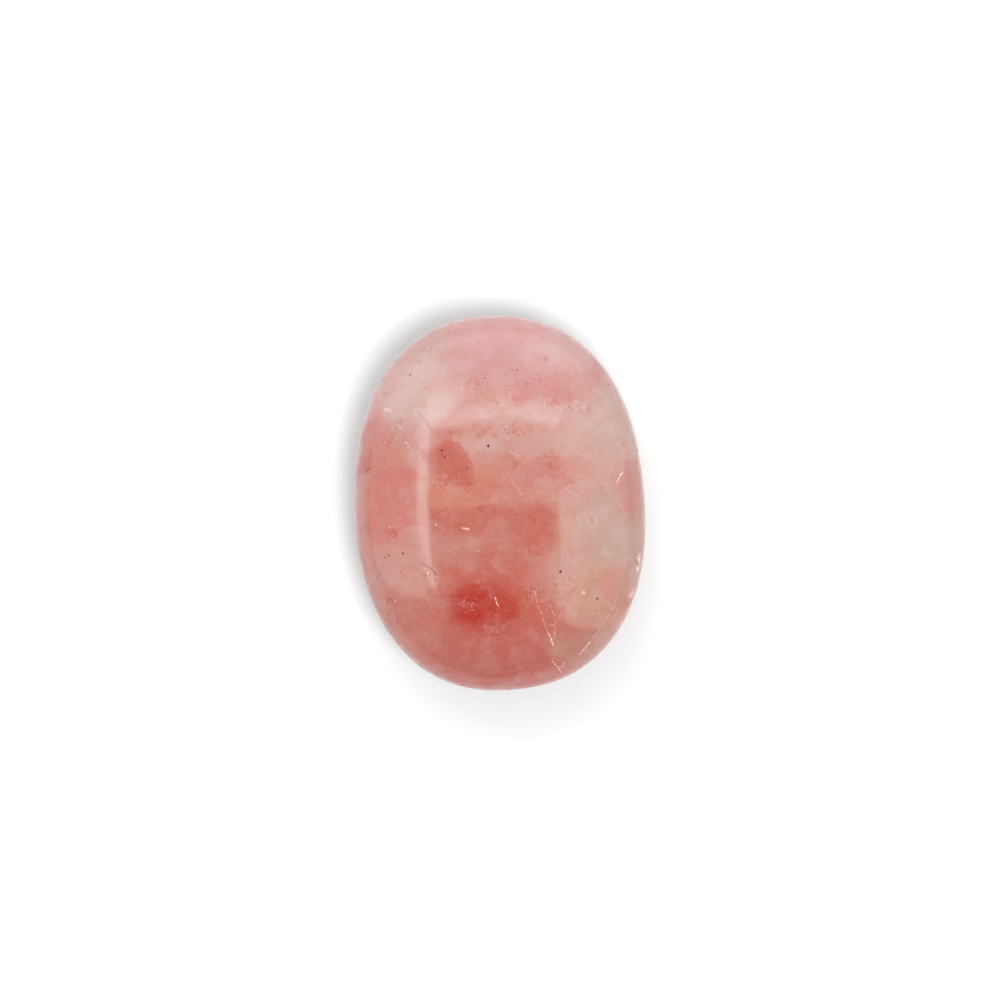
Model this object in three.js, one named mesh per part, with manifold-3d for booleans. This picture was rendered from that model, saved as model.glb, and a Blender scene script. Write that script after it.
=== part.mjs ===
// A rose quartz palm stone: one polished oval pebble, in millimetres, with +Z up.
// Its length lies along Y and its width along X. It rests on a small flat that was
// ground in the middle of its underside, and the origin is the middle of its footprint.

import * as THREE from "three";
import { mergeVertices } from "three/addons/utils/BufferGeometryUtils.js";
import Module from "manifold-3d";

// Overall size
const LENGTH = 60;
const WIDTH = 46.6;
const THICKNESS = 24;

// Height of the widest section above the resting flat, and how deep that flat is ground
const GIRDLE_HEIGHT = 11.4;
const FLAT_DEPTH = 0.35;

// Outline seen from above: a superellipse, a little fuller than a true ellipse
const OUTLINE_POWER = 2.27;

// Slow swells of the outline, each a share of the radius, with one crest at crestAngle
const OUTLINE_SWELLS = [
  { lobes: 3, share: 0.006, crestAngle: -31.4 },
  { lobes: 5, share: 0.0017, crestAngle: -34.1 },
];

// Section through the stone: the first power flattens the faces, the second fills the edge
const FACE_POWER = 2.12;
const EDGE_POWER = 2.24;

// Soft flats left by the grinding wheel. Each faces away from the middle of the stone:
// around is counted from +X in plan, rise is above the girdle, both in degrees.
const WHEEL_FLATS = [
  { around: 70, rise: 84, depth: 0.4 },
  { around: 178, rise: 60, depth: 0.3 },
  { around: 12, rise: 52, depth: 0.26 },
  { around: 96, rise: 47, depth: 0.3 },
  { around: 262, rise: 50, depth: 0.28 },
  { around: 318, rise: 38, depth: 0.2 },
  { around: 141, rise: 33, depth: 0.18 },
  { around: 226, rise: 14, depth: 0.12 },
  { around: 40, rise: -42, depth: 0.24 },
  { around: 155, rise: -46, depth: 0.26 },
  { around: 285, rise: -44, depth: 0.26 },
];

// A flat keeps this share of its depth as a soft crown, so its borders never show as edges
const FLAT_SOFTNESS = 0.5;

// Rows of triangles along each edge of the icosahedron that the mesh starts from
const MESH_DETAIL = 19;

const QUARTZ = new THREE.MeshStandardMaterial({
  name: "rose_quartz",
  color: 0xdb9a90,
  roughness: 0.12,
  metalness: 0,
});

// Radius of the outline at an angle in plan
function outlineRadius(angle) {
  const across = Math.abs(Math.cos(angle)) / (WIDTH / 2);
  const along = Math.abs(Math.sin(angle)) / (LENGTH / 2);
  const radius = (across ** OUTLINE_POWER + along ** OUTLINE_POWER) ** (-1 / OUTLINE_POWER);
  const swell = OUTLINE_SWELLS.reduce((sum, { lobes, share, crestAngle }) => {
    return sum + share * Math.cos(lobes * (angle - THREE.MathUtils.degToRad(crestAngle)));
  }, 0);
  return radius * (1 + swell);
}

// Moves a point of the unit sphere to the surface of the stone, with the girdle at height 0
function pebblePoint(unit) {
  const angle = Math.atan2(unit.y * LENGTH, unit.x * WIDTH);
  const reach = outlineRadius(angle) * Math.hypot(unit.x, unit.y) ** (2 / FACE_POWER);
  const crown = THICKNESS - GIRDLE_HEIGHT;
  const keel = GIRDLE_HEIGHT + FLAT_DEPTH;
  const height = Math.abs(unit.z) ** (2 / EDGE_POWER) * (unit.z > 0 ? crown : -keel);
  return new THREE.Vector3(reach * Math.cos(angle), reach * Math.sin(angle), height);
}

// Presses the points that stand past one wheel flat down towards its plane
function grindFlat(points, { around, rise, depth }) {
  const turn = THREE.MathUtils.degToRad(around);
  const lift = THREE.MathUtils.degToRad(rise);
  const facing = new THREE.Vector3(
    Math.cos(turn) * Math.cos(lift),
    Math.sin(turn) * Math.cos(lift),
    Math.sin(lift),
  );
  const plane = Math.max(...points.map((point) => point.dot(facing))) - depth;
  const crown = depth * FLAT_SOFTNESS;
  for (const point of points) {
    const excess = point.dot(facing) - plane;
    if (excess > 0) {
      const kept = crown * (1 - Math.exp(-excess / crown));
      point.addScaledVector(facing, kept - excess);
    }
  }
}

// The whole pebble as a closed indexed mesh, before its underside is ground flat
function pebbleGeometry() {
  const geometry = new THREE.IcosahedronGeometry(1, MESH_DETAIL);
  geometry.deleteAttribute("normal");
  geometry.deleteAttribute("uv");
  const merged = mergeVertices(geometry, 1e-5);
  const position = merged.getAttribute("position");
  const points = [];
  for (let i = 0; i < position.count; i++) {
    points.push(pebblePoint(new THREE.Vector3().fromBufferAttribute(position, i)));
  }
  for (const flat of WHEEL_FLATS) {
    grindFlat(points, flat);
  }
  points.forEach((point, i) => position.setXYZ(i, point.x, point.y, point.z));
  return merged;
}

const wasm = await Module();
wasm.setup();

// A closed geometry as a solid that can be cut
function solidOf(geometry) {
  return new wasm.Manifold(
    new wasm.Mesh({
      numProp: 3,
      vertProperties: geometry.getAttribute("position").array,
      triVerts: new Uint32Array(geometry.index.array),
    }),
  );
}

// A solid as a geometry that three.js can draw
function geometryOf(solid) {
  const { vertProperties, triVerts } = solid.getMesh();
  const geometry = new THREE.BufferGeometry();
  geometry.setAttribute("position", new THREE.BufferAttribute(vertProperties, 3));
  geometry.setIndex(new THREE.BufferAttribute(triVerts, 1));
  geometry.computeVertexNormals();
  return geometry;
}

// The block that takes away everything below the resting flat
function grindingBlock() {
  const block = new THREE.BoxGeometry(2 * WIDTH, 2 * LENGTH, THICKNESS);
  block.deleteAttribute("normal");
  block.deleteAttribute("uv");
  block.translate(0, 0, -GIRDLE_HEIGHT - THICKNESS / 2);
  return mergeVertices(block, 1e-5);
}

function makeStone() {
  const ground = solidOf(pebbleGeometry()).subtract(solidOf(grindingBlock()));
  const geometry = geometryOf(ground);
  geometry.computeBoundingBox();
  const middle = geometry.boundingBox.getCenter(new THREE.Vector3());
  geometry.translate(-middle.x, -middle.y, -geometry.boundingBox.min.z);
  const stone = new THREE.Mesh(geometry, QUARTZ);
  stone.name = "stone";
  return stone;
}

const palmStone = new THREE.Group();
palmStone.name = "rose_quartz_palm_stone";
palmStone.add(makeStone());

export default palmStone;
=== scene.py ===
# %% [markdown]
# # A palm stone of rose quartz
#
# The real object is one pebble of cloudy pink quartz, ground to a flattened oval and polished
# until it shines. This lesson starts from its exact solid, gives it a fine polished surface with
# small cracks, pits and chips, and then paints the clouds inside the quartz with layers of
# procedural texture. Everything is in metres, with +Z up, and the stone rests on z = 0.

import math
import random

import bmesh
import bpy
from mathutils import Matrix, Vector, bvhtree, kdtree, noise


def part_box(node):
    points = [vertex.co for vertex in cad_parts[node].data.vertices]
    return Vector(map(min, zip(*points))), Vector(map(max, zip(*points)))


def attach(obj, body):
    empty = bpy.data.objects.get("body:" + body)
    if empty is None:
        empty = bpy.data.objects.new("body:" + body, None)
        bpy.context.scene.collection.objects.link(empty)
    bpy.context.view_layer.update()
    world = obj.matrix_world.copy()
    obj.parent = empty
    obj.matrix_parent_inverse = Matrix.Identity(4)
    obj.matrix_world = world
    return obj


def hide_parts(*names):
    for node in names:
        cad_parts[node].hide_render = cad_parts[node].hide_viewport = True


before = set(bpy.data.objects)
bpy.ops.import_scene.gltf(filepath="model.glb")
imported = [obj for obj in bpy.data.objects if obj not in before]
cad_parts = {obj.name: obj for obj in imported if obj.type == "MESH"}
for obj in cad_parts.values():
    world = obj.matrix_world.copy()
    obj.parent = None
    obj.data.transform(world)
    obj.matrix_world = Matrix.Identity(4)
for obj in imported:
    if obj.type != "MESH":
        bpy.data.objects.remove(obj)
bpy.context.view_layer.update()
MM = 0.001
stone_low, stone_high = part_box("stone")
stone_size = stone_high - stone_low
print("the solid measures", [round(side / MM, 1) for side in stone_size], "mm")

# %% [markdown]
# ## The camera
#
# The photograph looks straight down on the stone. A long lens keeps the outline free of
# distortion, so the camera hangs as high as that lens needs to see the 160 mm of floor that the
# picture is wide. The stone lies turned a few degrees in the picture. Turning the camera the
# other way gives the same picture and leaves the stone square to its own axes.

# %% Hang the camera above the stone
PICTURE_WIDTH = 160 * MM      # floor that the picture is wide, at the stone's widest section
WIDEST_HEIGHT = 11.4 * MM     # height of the widest section above the floor
STONE_TURN = 3.1              # degrees that the stone lies turned, counter-clockwise
AIM_RIGHT = 0.15 * MM         # the picture's middle, as seen from the stone's middle
AIM_UP = 0.5 * MM
LENS = 100                    # a camera gives both of these in millimetres
SENSOR = 36

# Everything that is laid out as the picture shows it, camera and lights, shares this turn
picture_turn = Matrix.Rotation(math.radians(-STONE_TURN), 4, "Z")
camera_height = WIDEST_HEIGHT + PICTURE_WIDTH * LENS / SENSOR

camera = bpy.data.objects.new("camera", bpy.data.cameras.new("camera"))
camera.data.lens = LENS
camera.data.sensor_width = SENSOR
camera.matrix_world = picture_turn @ Matrix.Translation((AIM_RIGHT, AIM_UP, camera_height))
bpy.context.scene.collection.objects.link(camera)
bpy.context.scene.camera = camera
print("the camera hangs", round(camera_height / MM), "mm above the floor")

# %% [markdown]
# ## The floor
#
# A sheet of white board, far larger than the picture, so that no edge of it ever shows. It lies
# a hair below the stone's flat, because two faces at the same height would flicker.

# %% Lay the floor
FLOOR_SIDE = 6                       # in metres
FLOOR_GAP = 0.02 * MM                # how far it lies below the stone
FLOOR_WHITE = (0.79, 0.822, 0.825)   # white board, a touch cool


def matt_material(name, tint):
    """A surface with no pattern and no shine."""
    material = bpy.data.materials.new(name)
    material.use_nodes = True
    shader = material.node_tree.nodes["Principled BSDF"]
    shader.inputs["Base Color"].default_value = (*tint, 1)
    shader.inputs["Roughness"].default_value = 1.0
    shader.inputs["Specular IOR Level"].default_value = 0.0
    return material


def object_from(form, name):
    """Turns a bmesh into an object in the scene."""
    mesh = bpy.data.meshes.new(name)
    form.to_mesh(mesh)
    form.free()
    made = bpy.data.objects.new(name, mesh)
    bpy.context.scene.collection.objects.link(made)
    return made


sheet = bmesh.new()
bmesh.ops.create_grid(sheet, x_segments=1, y_segments=1, size=FLOOR_SIDE / 2)
bmesh.ops.translate(sheet, verts=sheet.verts, vec=(0, 0, -FLOOR_GAP))
floor = object_from(sheet, "floor")
floor.data.materials.append(matt_material("white_board", FLOOR_WHITE))
print("the floor is", FLOOR_SIDE, "m square")

# %% [markdown]
# ## The light tent
#
# A polished stone is a mirror for the room, so the panels of light round it are half of its
# look. Looking down on it, the dome shows them as pale veils towards its rim, and shows the dark
# opening that the camera looks through as the clear area in its middle.
#
# The panels are sheets of glowing cloth, laid out as the picture shows them: +X to its right and
# +Y to its top. Each is a strip between two rows of corners, and glows between one level along
# the first row and another along the second, so that an edge can be crisp or fade away. The
# dome bends straight edges, so the strip on the left narrows towards the front and the curtain at
# the back sags, which makes both look straight in the stone. The panels are only for the mirror
# image, and light nothing.

# %% Hang the panels that the stone mirrors
def glowing_cloth(name):
    """A material that glows as strongly as the sheet's own glow attribute says."""
    material = bpy.data.materials.new(name)
    material.use_nodes = True
    nodes = material.node_tree.nodes
    nodes.clear()
    glow = nodes.new("ShaderNodeAttribute")
    glow.attribute_name = "glow"
    emission = nodes.new("ShaderNodeEmission")
    output = nodes.new("ShaderNodeOutputMaterial")
    material.node_tree.links.new(glow.outputs["Fac"], emission.inputs["Strength"])
    material.node_tree.links.new(emission.outputs[0], output.inputs["Surface"])
    return material


cloth = glowing_cloth("glowing_cloth")


def panel(name, first, first_glow, second, second_glow):
    """A glowing sheet between two rows of corners, given in metres."""
    sheet = bmesh.new()
    glow = sheet.verts.layers.float.new("glow")
    rows = [[sheet.verts.new(corner) for corner in row] for row in (first, second)]
    for row, level in zip(rows, (first_glow, second_glow)):
        for vertex in row:
            vertex[glow] = level
    for i in range(len(first) - 1):
        sheet.faces.new((rows[0][i], rows[0][i + 1], rows[1][i + 1], rows[1][i]))
    bmesh.ops.transform(sheet, verts=sheet.verts, matrix=picture_turn)
    made = object_from(sheet, name)
    made.data.materials.append(cloth)
    made.visible_camera = made.visible_diffuse = made.visible_shadow = False


TENT = 0.4             # height of the tent's roof
SKIRT = 0.02           # height at which its walls end
LEFT_EDGE = -0.228     # where the opening of the roof ends at the left and the right
RIGHT_EDGE = 0.178
CURTAIN_FOLD = 0.1     # how deep the bright band along the back curtain's hem is
CURTAIN_RUN = 0.65     # how far behind its hem the curtain ends
CURTAIN_SPREAD = 1.3   # how much wider it is there

STRIP_ROWS = (
    # along, inner edge, where it starts to fade, where it ends
    (0.165, LEFT_EDGE, -0.43, -0.68),
    (0.05, LEFT_EDGE, -0.37, -0.52),
    (-0.03, LEFT_EDGE, -0.32, -0.43),
    (-0.09, LEFT_EDGE, -0.275, -0.35),
    (-0.15, -0.226, -0.25, -0.31),
    (-0.205, LEFT_EDGE, -0.24, -0.26),
)
inner, middle, outer = ([(row[i], row[0], TENT) for row in STRIP_ROWS] for i in (1, 2, 3))
panel("left_strip", inner, 3.3, middle, 2.7)
panel("left_strip_fade", middle, 2.7, outer, 0.0)

# The back curtain sags in its middle, so that its mirror image on the dome is a straight line
sag = [(-0.9, 0.30), (-0.25, 0.155), (-0.14, 0.143), (-0.06, 0.12), (0.02, 0.11), (0.09, 0.12),
       (0.156, 0.147), (0.3, 0.17), (0.9, 0.33)]
hem = [(x, y, TENT) for x, y in sag]
fold = [(x, y + CURTAIN_FOLD, TENT) for x, y in sag]
foot = [(x * CURTAIN_SPREAD, y + CURTAIN_RUN, SKIRT) for x, y in sag]
panel("back_band", hem, 3.9, fold, 2.1)
panel("back_wall", fold, 2.1, foot, 1.9)

# Each wall hangs outwards, and the roof closes the back half of the opening
panel("left_wall", [(-0.3, 0.3, TENT), (-0.3, -0.24, TENT)], 1.2,
      [(-0.9, 0.9, SKIRT), (-0.9, -0.3, SKIRT)], 1.6)
panel("right_wall", [(RIGHT_EDGE, 0.14, TENT), (RIGHT_EDGE, -0.29, TENT)], 1.7,
      [(0.75, 0.9, SKIRT), (0.75, -0.6, SKIRT)], 1.8)
panel("roof", [(LEFT_EDGE, 0.15, TENT), (RIGHT_EDGE, 0.15, TENT)], 0.9,
      [(LEFT_EDGE, -0.004, TENT), (RIGHT_EDGE, -0.004, TENT)], 0.9)
print("panels hung:", cloth.users)

# %% [markdown]
# ## The lighting
#
# Two softboxes and the room's own light do the lighting. The small box high at the right front
# throws the soft shadow towards the top left, and the large one behind keeps that shadow pale.
# Mirrored in the stone, a box would be a hard white square, so both are hidden from reflections,
# and so is most of the room: it lights more than it shows.

# %% Switch on the lights
def softbox(name, place, size, brightness):
    """A square light aimed at the stone. Its brightness is that of its cloth, with white as 1."""
    light = bpy.data.lights.new(name, "AREA")
    light.size = size
    light.energy = brightness * math.pi * size * size
    made = bpy.data.objects.new(name, light)
    place = Vector(place)
    aim = (Vector((0, 0, WIDEST_HEIGHT)) - place).to_track_quat("-Z", "Y").to_matrix().to_4x4()
    made.matrix_world = picture_turn @ Matrix.Translation(place) @ aim
    made.visible_camera = made.visible_glossy = False
    bpy.context.scene.collection.objects.link(made)


softbox("key", (0.10, -0.125, 0.62), 0.2, 19.5)
softbox("fill", (-0.15, 0.45, 0.6), 0.5, 2.4)

ROOM_LIGHT = 0.62     # what the room lights with
ROOM_MIRRORED = 0.3   # what a polished surface shows of it

world = bpy.data.worlds.new("room")
world.use_nodes = True
room = world.node_tree
mirrored = room.nodes.new("ShaderNodeLightPath").outputs["Is Glossy Ray"]
level = room.nodes.new("ShaderNodeMapRange")
level.inputs["To Min"].default_value = ROOM_LIGHT
level.inputs["To Max"].default_value = ROOM_MIRRORED
room.links.new(mirrored, level.inputs["Value"])
room.links.new(level.outputs[0], room.nodes["Background"].inputs["Strength"])
room.nodes["Background"].inputs["Color"].default_value = (1, 1, 1, 1)
bpy.context.scene.world = world
bpy.context.scene.view_settings.view_transform = "Standard"

# %% [markdown]
# ## The polished surface
#
# The solid is exact but faceted. A copy of it is merged, its flat underside is cleaned to one
# face, and subdivision rounds the facets away. A few rounds of smoothing then take out the
# faint ripple that subdivision leaves on triangles, which a mirror finish would show.

# %% Round the facets away
MERGE = 0.001 * MM       # points closer than this are one
FLAT_LIMIT = 0.01 * MM   # what lies lower than this belongs to the flat
FLAT_EDGE = 0.35 * MM    # above this height the surface may be smoothed
FLAT_LOOP = 0.5 * MM     # a loop this far inside the flat keeps it flat
SMOOTH_ROUNDS = 12


def subdivided(form, levels, name):
    """Finishes a bmesh with a Subdivision Surface and gives the result as a new bmesh."""
    rough = object_from(form, name)
    rounding = rough.modifiers.new("rounding", "SUBSURF")
    rounding.levels = rounding.render_levels = levels
    graph = bpy.context.evaluated_depsgraph_get()
    smooth = bmesh.new()
    smooth.from_object(rough, graph)
    mesh = rough.data
    bpy.data.objects.remove(rough)
    bpy.data.meshes.remove(mesh)
    return smooth


pebble = bmesh.new()
pebble.from_mesh(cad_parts["stone"].data)
bmesh.ops.remove_doubles(pebble, verts=pebble.verts, dist=MERGE)
ground = [f for f in pebble.faces if max(v.co.z for v in f.verts) < FLAT_LIMIT]
bmesh.ops.dissolve_faces(pebble, faces=ground, use_verts=True)
rim = [v for v in pebble.verts if v.co.z < FLAT_LIMIT]
bmesh.ops.remove_doubles(pebble, verts=rim, dist=FLAT_EDGE)
flat = [f for f in pebble.faces if max(v.co.z for v in f.verts) < FLAT_LIMIT]
bmesh.ops.inset_region(pebble, faces=flat, thickness=FLAT_LOOP, use_even_offset=True)
pebble = subdivided(pebble, 1, "pebble_draft")
for _ in range(SMOOTH_ROUNDS):
    bmesh.ops.smooth_vert(
        pebble, verts=[v for v in pebble.verts if v.co.z > FLAT_EDGE],
        factor=0.5, use_axis_x=True, use_axis_y=True, use_axis_z=True,
    )
bmesh.ops.recalc_face_normals(pebble, faces=pebble.faces)
print("the rounded pebble has", len(pebble.faces), "faces")

# %% [markdown]
# ## Cracks, pits and chips
#
# Quartz that grew and was tumbled isn't flawless. Healed cracks reach the surface as hairline
# grooves, small inclusions break out and leave dark pits, and the rim has a few shallow chips.
# They could be drawn in a bump texture, but a groove in the mesh also bends the reflections at
# grazing angles. So each mark is a trail of points laid on the surface. Its places are given in
# millimetres across and along the stone, seen from above, and smooth noise makes it wander.

# %% Helpers that lay a trail on the stone
SEED = 11
TRAIL_STEP = 0.08                  # millimetres from point to point of a trail
BEND_SIZE = 0.9                    # the same from one bend of a crack to the next
KINK_SIZE = 0.22                   # the same from one small kink to the next
KINK_SHARE = 0.4                   # how strong a kink is beside a bend
DRIFT_APART = Vector((47, 0, 0))   # sets the two directions of drift apart
STROKE_STEP = 0.22                 # millimetres from point to point of a tiny curved crack
STROKE_DEPTH = 0.012               # how deep such a crack is
MOST_BEND = 0.9                    # the most that it turns at each point, in radians

chance = random.Random(SEED)
surface = bvhtree.BVHTree.FromBMesh(pebble)


def drift(place, size):
    """A sideways push, up to about 1, that changes smoothly over a distance of that size."""
    spot = place / size
    return Vector((noise.noise(spot), noise.noise(spot + DRIFT_APART), 0))


def laid(points, wander, side):
    """A wandering trail over the surface, through points in millimetres seen from above."""
    trail = []
    for (x0, y0), (x1, y1) in zip(points, points[1:]):
        count = max(2, round(math.hypot(x1 - x0, y1 - y0) / TRAIL_STEP))
        for i in range(count):
            place = Vector((x0, y0, 0)).lerp(Vector((x1, y1, 0)), i / count)
            place += drift(place, BEND_SIZE) * wander
            place += drift(place, KINK_SIZE) * wander * KINK_SHARE
            start = Vector((place.x * MM, place.y * MM, side))
            hit = surface.ray_cast(start, Vector((0, 0, -side)))[0]
            if hit:
                trail.append(hit)
    return trail


marks = []


def mark(points, width, depth, pale=0.0, dark=0.0, wander=0.25, side=1):
    """Keeps a trail with its width at half depth, its depth and how pale or dark its floor is."""
    marks.append((laid(points, wander, side), width * MM, depth * MM, pale, dark))


def dot(x, y, width, depth, pale=0.0, dark=0.0, side=1):
    """A round mark: a pit or a fleck."""
    mark([(x, y), (x + 0.02, y)], width, depth, pale, dark, 0, side)


def scribble(x, y, reach, strokes, pale, width=0.09, side=1):
    """A nest of short curved cracks round a place, as where quartz has healed badly."""
    for _ in range(strokes):
        heading = chance.uniform(0, math.tau)
        bend = chance.uniform(-MOST_BEND, MOST_BEND)
        px = x + chance.uniform(-reach, reach)
        py = y + chance.uniform(-reach, reach)
        points = [(px, py)]
        for _ in range(chance.randint(2, 5)):
            px += STROKE_STEP * math.cos(heading)
            py += STROKE_STEP * math.sin(heading)
            heading += bend
            points.append((px, py))
        mark(points, width, STROKE_DEPTH, pale * chance.uniform(0.6, 1.1), side=side)


print("the surface has", len(pebble.verts), "points to lay trails on")

# %% [markdown]
# ## Healed cracks and glints
#
# Where a crack has healed, light catches on its walls, and that glint is painted into the colour:
# some cracks show as pale broken lines, and others only as a few bright specks. Nests of tiny
# curved cracks sit where several met, and their pale strokes are painted glints too. Their strokes
# are drawn by chance from a fixed seed, so that every run gives the same stone.

# %% Lay the cracks and glints
# After its points a mark has its width, depth, how pale, how dark and how far it wanders
mark([(4.9, -13.9), (5.1, -15.6), (5.5, -17.4), (6.1, -19.4), (6.8, -21.1)], 0.13, 0.02, 0.45)
mark([(6.6, -20.7), (7.0, -21.8), (7.3, -22.8)], 0.2, 0.03, 0.9)
mark([(7.0, -16.4), (7.6, -17.4), (7.8, -18.8), (7.6, -20.4), (7.7, -22.0)], 0.12, 0.02, 0.45)
mark([(17.6, -16.8), (17.1, -17.6), (14.9, -20.4), (13.3, -22.5)], 0.12, 0.03, 0.5)
mark([(13.2, -22.6), (11.4, -24.6)], 0.18, 0.05, 1.0, 0, 0.1)
mark([(7.1, -25.4), (7.8, -26.4), (8.6, -27.5)], 0.18, 0.04, 0.9, 0, 0.1)
mark([(7.8, -26.4), (8.7, -26.3), (9.0, -25.3)], 0.14, 0.03, 0.8, 0, 0.1)
mark([(-1.4, -14.6), (-1.2, -15.6), (-0.7, -16.5)], 0.14, 0.02, 0.9, 0, 0.1)
mark([(18.6, 2.3), (19.3, 3.0), (19.8, 3.9)], 0.18, 0.03, 0.9)
mark([(2.0, 3.6), (3.2, 1.8), (4.1, 0.6)], 0.1, 0.01, 0.45)
mark([(9.0, 3.2), (10.4, 1.9), (12.1, 0.4)], 0.1, 0.01, 0.35)
mark([(-5.7, -3.5), (-5.3, -3.7), (-4.9, -3.9)], 0.2, 0.02, 1.0)
dot(-3.6, -7.2, 0.3, 0.02, 1.0)
dot(-14.0, 10.2, 0.3, 0.02, 1.0)
dot(-13.7, 9.5, 0.24, 0.02, 0.8)
dot(12.4, -14.7, 0.5, 0.01, 0.7)
dot(-11.7, -10.3, 0.4, 0.01, 0.6)
mark([(-17.0, 15.6), (-16.4, 15.6)], 0.55, 0.03, 0.6, 0, 0.2)
dot(-17.9, 16.2, 0.35, 0.02, 0.6)

# Each nest has its place, its reach, its number of strokes and how pale they are
scribble(-5.3, -15.6, 1.1, 9, 0.75)
scribble(4.2, -13.6, 0.9, 6, 0.5)
scribble(-3.5, -11.8, 1.0, 5, 0.4)
scribble(-2.0, -20.4, 1.0, 6, 0.45)
scribble(-18.2, -15.2, 1.5, 12, 0.5)
scribble(-15.6, -13.2, 0.8, 4, 0.45)
scribble(-11.0, -10.6, 1.3, 7, 0.45)
scribble(-16.8, -3.0, 1.6, 6, 0.35)
scribble(-4.5, 18.6, 0.9, 5, 0.45)
scribble(4.4, 18.8, 1.4, 6, 0.35)
scribble(2.2, 16.4, 1.8, 6, 0.35)
scribble(8.2, 15.6, 1.2, 6, 0.45)
scribble(13.0, 14.6, 1.4, 7, 0.4)
scribble(3.2, 6.6, 1.8, 9, 0.35)
scribble(12.0, 1.2, 1.4, 8, 0.35)
scribble(-4.6, 2.2, 1.2, 5, 0.4)
scribble(9.5, -13.0, 1.6, 8, 0.35)
scribble(-19.6, 16.8, 0.8, 4, 0.5)
print("cracks and glints laid:", len(marks))

# %% [markdown]
# ## Hairlines, pits and chips
#
# A few cracks are painted dark and look like dark hairs. Pits are round and painted dark. The
# chips sit where a polished stone gets knocked, on its rim.
# The underside has a few marks of its own, for whoever turns the stone over.

# %% Lay the hairlines, pits and chips
mark([(-12.1, 14.9), (-10.8, 13.5), (-9.8, 11.6)], 0.1, 0.03, 0, 0.26, 0.2)
mark([(-12.7, -8.6), (-11.4, -9.6), (-10.2, -10.4)], 0.12, 0.03, 0, 0.36, 0.2)
mark([(-21.0, 6.5), (-20.6, 6.2), (-20.0, 6.6)], 0.17, 0.05, 0, 0.4, 0.2)
mark([(-20.6, 6.3), (-20.5, 5.9), (-20.1, 5.8)], 0.15, 0.05, 0, 0.36, 0.2)

PIT_DEPTH = 0.28
PITS = (
    # across, along, width, how dark
    (-1.2, 9.0, 0.294, 1.0), (-8.5, 8.7, 0.266, 0.9), (-8.1, 7.6, 0.21, 0.8),
    (9.0, -11.2, 0.28, 0.95), (14.6, -15.8, 0.252, 0.75), (22.2, 7.2, 0.252, 0.8),
    (-15.5, -7.1, 0.238, 0.75), (4.0, 20.7, 0.182, 0.8), (-12.9, 21.0, 0.252, 0.5),
    (-1.2, 19.6, 0.182, 0.5), (-4.6, 5.7, 0.196, 0.6), (-17.8, -7.3, 0.294, 0.4),
    (-18.3, -7.6, 0.224, 0.36),
)
for x, y, width, dark in PITS:
    dot(x, y, width, PIT_DEPTH, dark=dark)

# Each chip on the rim has a pale part, a painted glint, and the largest has a dark spot too
mark([(21.7, -9.7), (21.9, -10.8), (21.5, -11.9)], 0.8, 0.14, 0.8, 0, 0.6)
mark([(21.2, -10.4), (21.3, -10.9)], 0.34, 0.06, 0, 0.5)
mark([(20.6, -14.6), (20.3, -15.9)], 0.55, 0.1, 0.85, 0, 0.5)

# The underside
mark([(-9.0, 8.0), (-7.2, 5.1), (-6.4, 2.0)], 0.12, 0.02, 0.5, side=-1)
mark([(6.0, -9.5), (9.1, -11.8), (12.6, -12.2)], 0.12, 0.03, 0, 0.3, side=-1)
scribble(8.0, 12.0, 1.6, 7, 0.4, side=-1)
scribble(-11.0, -13.0, 1.4, 6, 0.4, side=-1)
for x, y in ((3.0, 17.0), (-13.0, -2.0), (14.0, 4.0), (-4.0, -19.0)):
    dot(x, y, 0.32, 0.06, dark=0.7, side=-1)
print("marks laid:", len(marks))

# %% [markdown]
# ## A mesh that is fine where it has to be
#
# A hairline is a tenth of a millimetre wide, and a mesh that fine all over would be far too heavy.
# Only the edges close to a trail are cut, a few rounds over. The new points lie on flat faces, so
# they are then pulled out to a smoother copy of the stone with a Shrinkwrap modifier.

# %% Make the mesh fine along the marks
REFINE_ROUNDS = 3          # each round halves the edges
REFINE_REACH = 0.45 * MM   # width of the band round a trail that has to be fine
EDGE_REACH = 0.75          # a long edge is also cut when a trail may cross its faces

trail_tree = kdtree.KDTree(sum(len(trail) for trail, *_ in marks))
owner = []
for number, (trail, *_) in enumerate(marks):
    for point in trail:
        trail_tree.insert(point, len(owner))
        owner.append(number)
trail_tree.balance()


def nearest_mark(point):
    """The mark that comes closest to a point, and how far it is."""
    _, index, distance = trail_tree.find(point)
    return marks[owner[index]], distance


reference = object_from(subdivided(pebble.copy(), 2, "reference_draft"), "reference")
for _ in range(REFINE_ROUNDS):
    close = set()
    for edge in pebble.edges:
        middle = (edge.verts[0].co + edge.verts[1].co) / 2
        if nearest_mark(middle)[1] < edge.calc_length() * EDGE_REACH + REFINE_REACH / 2:
            close.update(e for face in edge.link_faces for e in face.edges)
    bmesh.ops.subdivide_edges(pebble, edges=list(close), cuts=1, use_grid_fill=True)
bmesh.ops.triangulate(pebble, faces=pebble.faces)
print("the stone has", len(pebble.faces), "triangles")

stone = object_from(pebble, "palm_stone")
settle = stone.modifiers.new("settle", "SHRINKWRAP")
settle.target = reference
with bpy.context.temp_override(object=stone):
    bpy.ops.object.modifier_apply(modifier=settle.name)
bpy.data.objects.remove(reference)

# %% [markdown]
# ## Pressing the marks in
#
# Every point of the mesh looks for its nearest trail and sinks by the depth of that mark, less
# towards its edge. How pale or dark the mark is gets stored with the point, for the material to
# read. A hand-polished surface is never quite even either, so a wave far too low to see by itself
# makes the reflections swim a little.

# %% Press the marks into the surface
WAVE_SIZE = 5 * MM         # from one crest of the polish's wave to the next
WAVE_HEIGHT = 0.012 * MM

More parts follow.
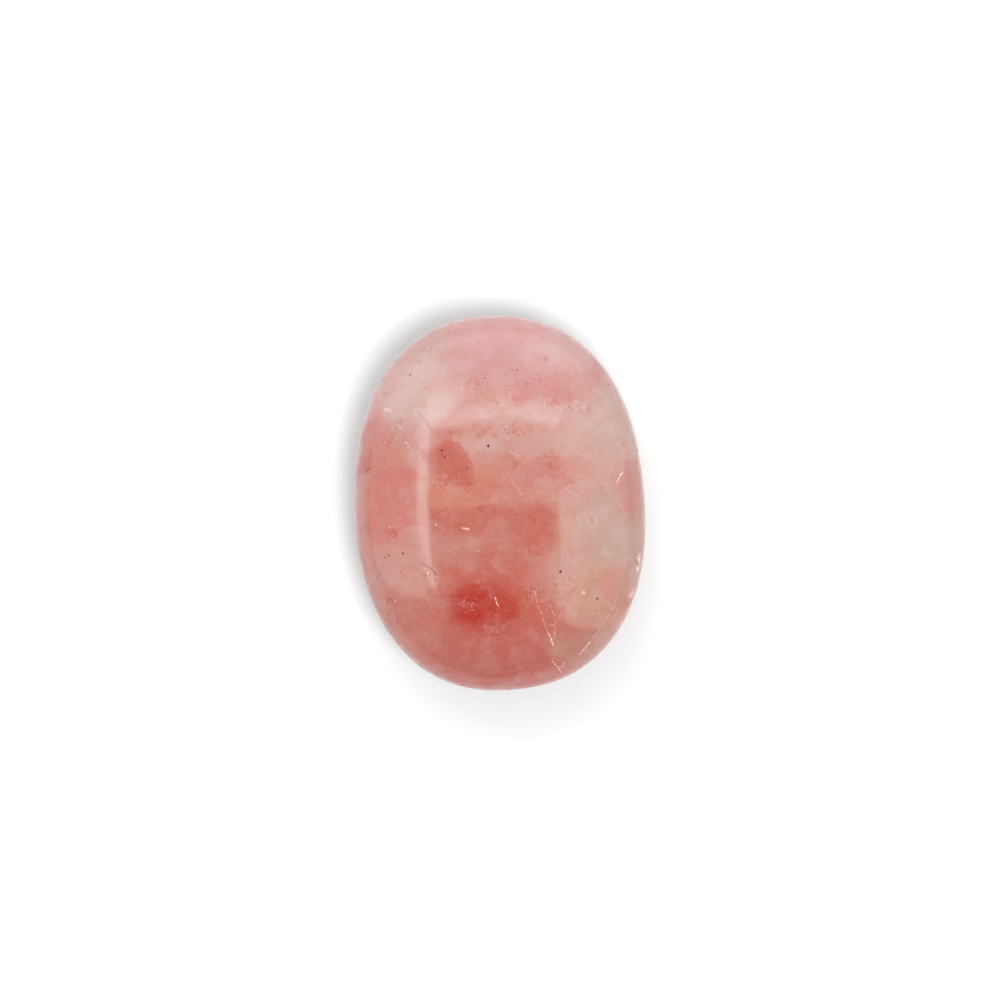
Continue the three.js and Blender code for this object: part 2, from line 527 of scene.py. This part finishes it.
glint_marks = stone.data.attributes.new("glint_marks", "FLOAT", "POINT")
dark_marks = stone.data.attributes.new("dark_marks", "FLOAT", "POINT")
normals = [v.normal.copy() for v in stone.data.vertices]
for vertex, normal in zip(stone.data.vertices, normals):
    (_, width, depth, pale, dark), distance = nearest_mark(vertex.co)
    share = max(0.0, 1 - distance / width)
    share = share * share * (3 - 2 * share)   # soft at the rim and at the floor
    glint_marks.data[vertex.index].value = pale * share
    dark_marks.data[vertex.index].value = dark * share
    if vertex.co.z > FLAT_EDGE:
        wave = noise.noise(vertex.co / WAVE_SIZE) * WAVE_HEIGHT
        vertex.co += normal * (wave - depth * share)
for face in stone.data.polygons:
    face.use_smooth = True
print("the deepest mark is", max(depth for _, _, depth, *_ in marks) / MM, "mm deep")

# %% [markdown]
# ## The quartz
#
# Light enters the quartz, scatters among countless tiny inclusions and comes out again, so the
# shader is mostly subsurface scattering under a thin, sharp gloss. The colour is painted in
# layers from Object coordinates in millimetres, so that it runs through the stone like the real
# thing and joins up on every side. The layers are the body of the stone with its blocks, clouds
# of deeper and paler quartz, then mottling, flecks, seams and the colour of the marks.

# %% Helpers for the material
TINTS = {
    "blush": (0.495, 0.235, 0.197),
    "rose": (0.475, 0.18, 0.148),
    "pink": (0.505, 0.24, 0.237),
    "painted_rim_light": (0.63, 0.33, 0.34),
    "salmon": (0.50, 0.15, 0.122),
    "orange": (0.52, 0.19, 0.115),
    "ember": (0.45, 0.105, 0.067),
    "deep": (0.40, 0.030, 0.016),
    "dusk": (0.43, 0.115, 0.095),
    "milk": (0.58, 0.43, 0.40),
    "peach": (0.51, 0.345, 0.305),
    "beige": (0.43, 0.288, 0.228),
    "tan": (0.43, 0.225, 0.15),
    "glint": (0.95, 0.80, 0.70),
    "dark_brown": (0.15, 0.025, 0.012),
    "warm": (1.0, 0.90, 0.76),
    "cool": (0.99, 0.86, 0.92),
    "painted_shade": (0.82, 0.74, 0.71),
    "stain": (0.96, 0.70, 0.64),
    "curl": (0.92, 0.62, 0.58),
}

quartz = bpy.data.materials.new("rose_quartz")
quartz.use_nodes = True
tree = quartz.node_tree


def node(kind, inputs=None, **settings):
    """Adds a node. Inputs may be values or the outputs of other nodes."""
    made = tree.nodes.new(kind)
    for name, value in settings.items():
        setattr(made, name, value)
    for name, value in (inputs or {}).items():
        if isinstance(value, bpy.types.NodeSocket):
            tree.links.new(value, made.inputs[name])
        else:
            made.inputs[name].default_value = value
    return made


def maths(kind, *values):
    """A maths node with its values in order."""
    return node("ShaderNodeMath", dict(enumerate(values)), operation=kind).outputs[0]


def ramp(value, low, high, low_out=0.0, high_out=1.0):
    """Maps a value from one range to another with soft ends."""
    made = node(
        "ShaderNodeMapRange",
        {"Value": value, "From Min": low, "From Max": high, "To Min": low_out, "To Max": high_out},
        interpolation_type="SMOOTHSTEP",
    )
    return made.outputs[0]


def painted(colour, tint, mask, blend="MIX"):
    """Lays a tint over a colour where a mask says so."""
    # Sockets 0, 6 and 7 of a colour mix are its mask, the colour below and the one on top
    made = node("ShaderNodeMix", data_type="RGBA", blend_type=blend, clamp_factor=True)
    tree.links.new(mask, made.inputs[0])
    tree.links.new(colour, made.inputs[6])
    made.inputs[7].default_value = (*TINTS[tint], 1)
    return made.outputs[2]


def grain(place, scale, detail=2.0, roughness=0.5):
    """Noise over a place, with its scale in features per millimetre."""
    return node(
        "ShaderNodeTexNoise",
        {"Vector": place, "Scale": scale, "Detail": detail, "Roughness": roughness},
    )


def drifted(place, scale, reach, detail=2.0):
    """Pushes a place about by noise, so that what is drawn there gets an uneven border."""
    push = node(
        "ShaderNodeVectorMath",
        {0: grain(place, scale, detail).outputs["Color"], 1: (0.5, 0.5, 0.5)},
        operation="SUBTRACT",
    )
    return node(
        "ShaderNodeVectorMath",
        {0: push.outputs[0], 1: (reach,) * 3, 2: place},
        operation="MULTIPLY_ADD",
    ).outputs[0]


print("tints mixed:", len(TINTS))

# %% [markdown]
# ## The body and its blocks
#
# The body shifts slowly between two pinks. Quartz also cracks into blocks as it grows, and each
# block differs a little from its neighbours. A Voronoi texture gives such blocks. Places are then
# snapped part of the way to the middle of their block, so that whatever is painted there later
# gets the broken, straight-sided border of real fractures.

# %% Paint the body of the stone
BLOCK_SCALE = 0.27   # blocks per millimetre
SNAP = 0.16          # how far places are pulled to the middle of their block
coordinates = node("ShaderNodeTexCoord").outputs["Object"]
place = node(
    "ShaderNodeVectorMath", {0: coordinates, "Scale": 1 / MM}, operation="SCALE"
).outputs[0]
loose = drifted(place, 0.16, 1.8)
blocks = node(
    "ShaderNodeTexVoronoi",
    {"Vector": loose, "Scale": BLOCK_SCALE, "Smoothness": 0.4},
    feature="SMOOTH_F1",
)
# Sockets 0, 4 and 5 of a vector mix are its share and the two places it mixes
snapped = node(
    "ShaderNodeMix", {0: SNAP, 4: loose, 5: blocks.outputs["Position"]}, data_type="VECTOR"
).outputs[1]
ragged = drifted(snapped, 0.8, 1.9, 4.0)

base = node("ShaderNodeRGB")
base.outputs[0].default_value = (*TINTS["blush"], 1)
body = painted(base.outputs[0], "rose", ramp(grain(loose, 0.07, 3).outputs[0], 0.4, 0.62))
block_tint = node("ShaderNodeSeparateXYZ", {0: blocks.outputs["Color"]}).outputs


def by_block(colour, share):
    """Makes neighbouring blocks differ: some warm, some cool and some milky."""
    colour = painted(colour, "warm", ramp(block_tint[0], 0.5, 0.9, 0, 0.4 * share), "MULTIPLY")
    colour = painted(colour, "cool", ramp(block_tint[0], 0.5, 0.1, 0, 0.45 * share), "MULTIPLY")
    return painted(colour, "milk", ramp(block_tint[1], 0.55, 0.9, 0, 0.18 * share))


body = by_block(body, 1.0)
print("blocks are about", round(1 / BLOCK_SCALE, 1), "mm across")

# %% [markdown]
# ## Clouds in the quartz
#
# Most clouds are where more or less of the pink mineral was caught as the quartz grew, and no two
# stones have the same. A few are painted light instead. The pale clouds low along the top and left
# rim are partly a painted glow of the lit rim, and a dark cloud low at the lower left is painted
# shade that darkens the rim there. Plain noise would put them anywhere, so each cloud is an
# ellipsoid of another tint at a place of its own. Its middle is given across, along and above the
# stone, and its reach along each of those, all in millimetres. Where a cloud is turned, the turn
# is in degrees about the upright. The ragged coordinates break up its border.

# %% Paint the clouds
CLOUDS = (
    # tint, middle, reach, turn, strength, softness
    ("dusk", (-2.0, -25.0, 12), (19, 9, 14), 0, 0.85, 0.5),
    ("rose", (-15.0, -17.5, 14), (9, 8, 9), 30, 0.85, 0.5),
    ("pink", (1.5, 25.0, 14), (19, 8, 12), 0, 0.9, 0.5),
    # The next two clouds, low along the top rim, are partly painted light: a pale glow of the rim
    ("peach", (1.5, 29.0, 11), (16, 5, 10), 0, 0.7, 0.6),
    ("painted_rim_light", (0.5, 30.5, 11), (17, 8, 10), 0, 0.75, 0.4),
    ("pink", (-1.3, 23.7, 17), (8.0, 7.0, 12), 0, 0.2, 0.06),
    ("milk", (12.0, 22.5, 16), (4.5, 3.5, 6), -30, 0.4, 0.5),
    # Painted rim light: a pale glow along the left rim
    ("painted_rim_light", (-23.0, 3.0, 12), (3.5, 15, 8), 0, 0.35, 0.5),
    ("milk", (20.8, 11.5, 15), (3.0, 5.5, 6), 20, 0.5, 0.5),
    ("peach", (-14.5, 19.5, 14), (10, 8.0, 10), 30, 1.0, 0.5),
    # Painted rim light: a pale glow along the upper left rim
    ("painted_rim_light", (-18.5, 18.0, 12), (5.0, 10.0, 9), -35, 0.7, 0.5),
    ("milk", (7.0, 22.5, 19), (3.5, 3.0, 5), 0, 0.35, 0.6),
    ("beige", (17.5, -5.0, 14), (8, 9.5, 12), 0, 0.9, 0.45),
    ("peach", (18.0, 11.0, 14), (8.5, 7.5, 10), 20, 0.6, 0.5),
    ("beige", (18.5, 10.0, 14), (7.5, 6.5, 10), 20, 0.4, 0.5),
    ("peach", (12.5, 12.0, 20), (5.0, 3.0, 6), 0, 0.5, 0.5),
    ("peach", (10.0, -10.5, 22), (2.8, 6.5, 6), 0, 0.45, 0.4),
    ("peach", (-13.5, 13.5, 19), (4.0, 2.4, 5), 0, 0.5, 0.5),
    ("tan", (13.5, -14.5, 19), (5.5, 6, 7), 0, 0.55, 0.5),
    ("beige", (13.0, -23.5, 15), (5, 4, 8), 20, 0.5, 0.5),
    ("salmon", (-16.6, 1.0, 19), (4.8, 7.0, 5), -8, 0.95, 0.25),
    ("salmon", (-18.4, 10.5, 17.5), (3.6, 4.6, 4), 20, 0.6, 0.5),
    ("ember", (-20.7, 6.8, 17.5), (1.3, 1.1, 4), 0, 0.5, 0.5),
    ("blush", (-16.0, -9.7, 18), (6.5, 4.5, 8), 0, 0.8, 0.5),
    ("peach", (5.5, 8.8, 23), (8.5, 2.2, 5), 0, 0.5, 0.5),
    ("peach", (3.0, 14.0, 22), (13, 1.8, 5), 0, 0.45, 0.5),
    ("peach", (-8.4, -6.7, 22), (4.2, 2.2, 4), 0, 0.35, 0.6),
    ("orange", (-6.3, 2.4, 23), (4.6, 2.8, 6), 0, 0.95, 0.4),
    ("rose", (1.5, 3.6, 23), (10, 3.6, 6), 0, 0.6, 0.5),
    ("orange", (-2.9, 3.6, 23), (3.2, 2.4, 5), 0, 0.7, 0.4),
    ("ember", (-3.0, 2.9, 23), (3.2, 1.5, 5), 0, 0.4, 0.4),
    ("ember", (-7.2, 7.0, 23), (2.9, 4.4, 5), 35, 0.6, 0.4),
    ("ember", (-6.4, 6.6, 23), (2.3, 4.3, 5), 28, 0.8, 0.1),
    ("rose", (9.0, 5.3, 23), (4.5, 1.8, 5), 0, 0.5, 0.4),
    ("rose", (0.6, 8.6, 23), (2.6, 1.4, 4), 0, 0.4, 0.5),
    ("peach", (-1.4, 9.0, 23), (2.4, 0.9, 4), 0, 0.4, 0.5),
    ("ember", (5.4, -3.9, 23), (3.6, 4.0, 5), 0, 0.35, 0.4),
    ("ember", (-2.8, -10.6, 23), (6.8, 3.3, 5), 0, 0.7, 0.4),
    ("ember", (6.6, -18.0, 21), (2.6, 3.2, 6), 20, 0.3, 0.3),
    ("ember", (10.5, -20.0, 19), (4.0, 2.4, 6), 30, 0.25, 0.4),
    ("tan", (15.5, -16.0, 19), (4.0, 4.5, 6), 0, 0.4, 0.5),
    # Painted shade: darkens the lower left rim
    ("dusk", (-15.5, -21.5, 13), (4.5, 4.0, 7), 40, 0.9, 0.5),
    ("tan", (8.4, -22.9, 18), (2.4, 2.2, 5), 0, 0.5, 0.4),
    ("ember", (2.6, -15.6, 22), (2.4, 2.6, 5), 0, 0.6, 0.4),
    ("ember", (1.0, -0.9, 23), (3.6, 1.6, 5), 0, 0.35, 0.4),
    ("tan", (9.6, -4.5, 22), (1.6, 6.0, 5), 0, 0.3, 0.5),
    ("pink", (9.5, 17.8, 20), (5.0, 3.0, 6), 0, 0.45, 0.5),
    ("rose", (-16.5, -18.8, 16), (8.0, 5.4, 8), 30, 0.9, 0.25),
    ("rose", (17.4, -13.3, 19), (2.2, 2.8, 5), 0, 0.8, 0.4),
    ("tan", (18.4, -15.0, 18), (1.6, 2.6, 4), -30, 0.5, 0.3),
    ("rose", (20.5, 0.8, 17), (2.8, 4.8, 6), 0, 0.7, 0.4),
    ("ember", (-1.5, -17.0, 21), (9.5, 6.5, 6), 0, 0.6, 0.5),
    ("deep", (-3.9, -16.2, 22), (5.7, 4.2, 5), -8, 0.5, 0.35),
    ("deep", (-3.1, -15.6, 22), (5.4, 3.2, 5), -10, 0.4, 0.1),
    ("deep", (-4.7, -16.1, 22), (3.8, 2.5, 4), 0, 0.85, 0.3),
    ("rose", (-2.8, -23.8, 19), (1.6, 3.6, 5), 0, 0.4, 0.5),
    ("milk", (-8.4, 16.0, 21), (4.6, 1.7, 5), 32, 0.6, 0.6),
    ("milk", (-13.0, 18.5, 18), (6.0, 4.0, 6), 30, 0.35, 0.5),
    ("milk", (-10.9, 11.2, 20), (2.6, 2.6, 4), 0, 0.3, 0.5),
)


def cloud_mask(where, middle, reach, turn, softness, boxy=False):
    """One inside an ellipsoid or a box, zero outside, with a border as wide as softness says."""
    local = node("ShaderNodeVectorMath", {0: where, 1: middle}, operation="SUBTRACT").outputs[0]
    if turn:
        local = node(
            "ShaderNodeVectorRotate",
            {"Vector": local, "Angle": -math.radians(turn)},
            rotation_type="Z_AXIS",
        ).outputs[0]
    local = node("ShaderNodeVectorMath", {0: local, 1: reach}, operation="DIVIDE").outputs[0]
    if boxy:
        sides = node("ShaderNodeVectorMath", {0: local}, operation="ABSOLUTE")
        side = node("ShaderNodeSeparateXYZ", {0: sides.outputs[0]}).outputs
        away = maths("MAXIMUM", maths("MAXIMUM", side[0], side[1]), side[2])
    else:
        away = node("ShaderNodeVectorMath", {0: local}, operation="LENGTH").outputs["Value"]
    return ramp(away, 1 + softness, 1 - softness)


# Fragments that broke off and healed in again keep their shape, so they use crisp coordinates.
# The slab and the vein have straight sides too, as where quartz breaks along a plane. The vein is
# thin, and its border is frayed.
CRISP = 0.12   # clouds softer than this get a ragged border
SLAB = {"middle": (-0.9, -4.3, 23), "reach": (9.7, 4.1, 5)}
SLAB_STRENGTH = 0.54
VEIN = {"middle": (-0.2, 11.3, 23), "reach": (9.6, 0.75, 5)}
VEIN_STRENGTH = 0.12

crisp = drifted(place, 0.9, 0.9, 4.0)
slab = cloud_mask(crisp, **SLAB, turn=0, softness=0.1, boxy=True)
colour = painted(body, "ember", maths("MULTIPLY", slab, SLAB_STRENGTH))
for tint, middle, reach, turn, strength, softness in CLOUDS:
    mask = cloud_mask(crisp if softness < CRISP else ragged, middle, reach, turn, softness)
    colour = painted(colour, tint, maths("MULTIPLY", mask, strength))
frayed = drifted(place, 2.4, 0.35, 3.0)
vein = cloud_mask(drifted(frayed, 1.2, 0.9), **VEIN, turn=0, softness=0.4, boxy=True)
colour = painted(colour, "ember", maths("MULTIPLY", vein, VEIN_STRENGTH))
print("clouds painted:", len(CLOUDS))

# %% [markdown]
# ## Mottling
#
# Seen closely no cloud is even. The blocks show through the clouds a little, noise mottles the
# whole stone, and finer noise speckles it with painted shade and painted glints: dark dots and
# pale dots. The speckles gather in swarms: partly where another noise says so, and partly in nests
# at the places where this stone has them.

# %% Mottle and speckle the clouds
NESTS = (
    (2.4, 6.4), (7.6, 5.4), (11.8, 2.2), (-9.8, -2.2), (-17.0, -3.6), (-18.2, -15.2),
    (-2.6, -20.4), (4.6, -14.0), (9.6, -13.4), (3.6, 17.6), (8.4, 15.8), (13.2, 14.6),
    (16.8, -17.6), (-8.6, 3.4), (-1.9, 18.4), (7.8, 18.8), (-17.1, -17.1), (-6.4, 11.2),
    (-1.8, 11.1), (3.0, 11.0), (-15.8, 12.4),
)
NEST_HEIGHT = 20             # above the floor, like the reach in millimetres
NEST_REACH = (1.9, 1.5, 6)

colour = by_block(colour, 0.3)
mottle = grain(ragged, 0.35, 5, 0.6).outputs[0]
colour = painted(colour, "stain", ramp(mottle, 0.5, 0.3, 0, 0.4), "MULTIPLY")
colour = painted(colour, "milk", ramp(mottle, 0.5, 0.7, 0, 0.16))
speckle = grain(place, 1.8, 4, 0.85).outputs[0]
swarm = ramp(grain(loose, 0.25, 4, 0.7).outputs[0], 0.54, 0.7)
for x, y in NESTS:
    nest = cloud_mask(ragged, (x, y, NEST_HEIGHT), NEST_REACH, 0, 0.6)
    swarm = maths("MAXIMUM", swarm, nest)
speckled = maths("MULTIPLY_ADD", swarm, 0.7, 0.3)
# Painted shade and painted glints: the fine speckles darken and lighten the colour in dots, as
# small shadows and glints would
speckle_shade = maths("MULTIPLY", speckled, ramp(speckle, 0.5, 0.3))
speckle_glint = maths("MULTIPLY", speckled, ramp(speckle, 0.5, 0.75, 0, 0.25))
colour = painted(colour, "painted_shade", speckle_shade, "MULTIPLY")
colour = painted(colour, "glint", speckle_glint)
print("nests of speckles:", len(NESTS))

# %% [markdown]
# ## Flecks and curls
#
# Inside the swarms lie flecks with an edge, pale ones that are painted glints and deep rose ones,
# and small curls of red.
# Each cell of a fine Voronoi texture holds one fleck. The cell's own random colour decides how
# large the fleck is and what kind, and frayed coordinates keep it from being round.

# %% Scatter the flecks
FLECK_SCALE = 1.5   # fleck cells per millimetre
cells = node("ShaderNodeTexVoronoi", {"Vector": frayed, "Scale": FLECK_SCALE})
fleck_kind = node("ShaderNodeSeparateXYZ", {0: cells.outputs["Color"]})
fleck_reach = ramp(fleck_kind.outputs[1], 0.0, 1.0, 0.1, 0.28)
inside = ramp(maths("SUBTRACT", fleck_reach, cells.outputs["Distance"]), 0.0, 0.1)
fleck = maths("MULTIPLY", inside, swarm)
rare_glint = ramp(fleck_kind.outputs[0], 0.72, 0.76)
common = ramp(fleck_kind.outputs[0], 0.35, 0.31)
# Painted glints: the rare pale flecks
colour = painted(colour, "glint", maths("MULTIPLY", fleck, maths("MULTIPLY", rare_glint, 0.55)))
colour = painted(colour, "stain", maths("MULTIPLY", fleck, common), "MULTIPLY")
curls = ramp(grain(frayed, 0.9, 3, 0.65).outputs[0], 0.54, 0.6)
colour = painted(colour, "curl", maths("MULTIPLY", curls, swarm), "MULTIPLY")
print("fleck cells are about", round(1 / FLECK_SCALE, 1), "mm across")

# %% [markdown]
# ## Seams
#
# Here and there the seam between two blocks shows as a faint pale line. It is drawn with the same
# Voronoi cells again, read by their distance to the border, so that it runs exactly where the
# tints of two blocks meet. Noise hides most of it.

# %% Draw the seams between blocks
border = node(
    "ShaderNodeTexVoronoi", {"Vector": loose, "Scale": BLOCK_SCALE}, feature="DISTANCE_TO_EDGE"
)
seam = ramp(border.outputs["Distance"], 0.03, 0.0)
shown = ramp(grain(place, 0.3, 4, 0.7).outputs[0], 0.54, 0.68, 0, 0.3)
colour = painted(colour, "milk", maths("MULTIPLY", seam, shown))
print("nodes in the material so far:", len(tree.nodes))

# %% [markdown]
# ## The colour of the marks
#
# The pale marks are painted glints, where light catches the walls of a healed crack or a chip, and
# a pit or a dark crack is painted dark brown.
# Where they are is known already: both were stored with the points of the mesh. Noise breaks the
# pale ones up, because cracks heal in part.

# %% Colour the marks
BROWN_GAIN = 2.0   # makes a pit fully brown well before its floor
broken = ramp(grain(place, 2.2, 3, 0.6).outputs[0], 0.42, 0.58, 0.1, 1.0)
pale = node("ShaderNodeAttribute", attribute_name="glint_marks").outputs["Fac"]
pale = maths("MULTIPLY", pale, broken)
dark = node("ShaderNodeAttribute", attribute_name="dark_marks").outputs["Fac"]
# Painted glints where the marks are pale
colour = painted(colour, "glint", pale)
# Dark brown painted into the pits and the dark cracks
colour = painted(colour, "dark_brown", maths("MULTIPLY", dark, BROWN_GAIN))
print("the marks are coloured in", len(stone.data.vertices), "points")

# %% [markdown]
# ## The polish
#
# The gloss is quartz's own: its refraction index gives the right strength at every angle.
# Roughness rises a little in patches where the polish is thinner, and more inside the marks. The
# light that enters comes out again a few millimetres on, red light farthest, which softens the
# shading and makes the rim glow. A trace of bump is the last unevenness of the polish.

# %% Finish the shader
QUARTZ_IOR = 1.544
SCATTER_SHARE = 0.9                # share of the matt colour that comes from inside the quartz
SCATTER_REACH = 5 * MM             # how far red light gets in there
SCATTER_RATIO = (1.0, 0.5, 0.42)   # how far red, green and blue get beside that
PALE_WEAR = 0.15                   # how much rougher the floor of a pale mark is
DARK_WEAR = 0.15                   # the same for a dark one
BUMP_HEIGHT = 0.012 * MM

shader = tree.nodes["Principled BSDF"]
tree.links.new(colour, shader.inputs["Base Color"])
shader.inputs["IOR"].default_value = QUARTZ_IOR
shader.subsurface_method = "RANDOM_WALK"
shader.inputs["Subsurface Weight"].default_value = SCATTER_SHARE
shader.inputs["Subsurface Radius"].default_value = SCATTER_RATIO
shader.inputs["Subsurface Scale"].default_value = SCATTER_REACH
polish = ramp(grain(loose, 0.5, 4, 0.6).outputs[0], 0.35, 0.7, 0.06, 0.11)
worn = maths("ADD", maths("MULTIPLY", pale, PALE_WEAR), maths("MULTIPLY", dark, DARK_WEAR))
tree.links.new(maths("ADD", polish, worn), shader.inputs["Roughness"])
orange_peel = grain(place, 0.9, 3, 0.55).outputs[0]
bump = node("ShaderNodeBump", {"Height": orange_peel, "Distance": BUMP_HEIGHT, "Strength": 0.5})
tree.links.new(bump.outputs[0], shader.inputs["Normal"])

stone.data.materials.clear()
stone.data.materials.append(quartz)
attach(stone, "root")
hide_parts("stone")
print("the finished stone has", len(stone.data.polygons), "triangles")

# %% [markdown]
# ## Sizes
#
# The finished stone has to fill the same box as the exact solid.

# %% Finish
print("the scene is finished")
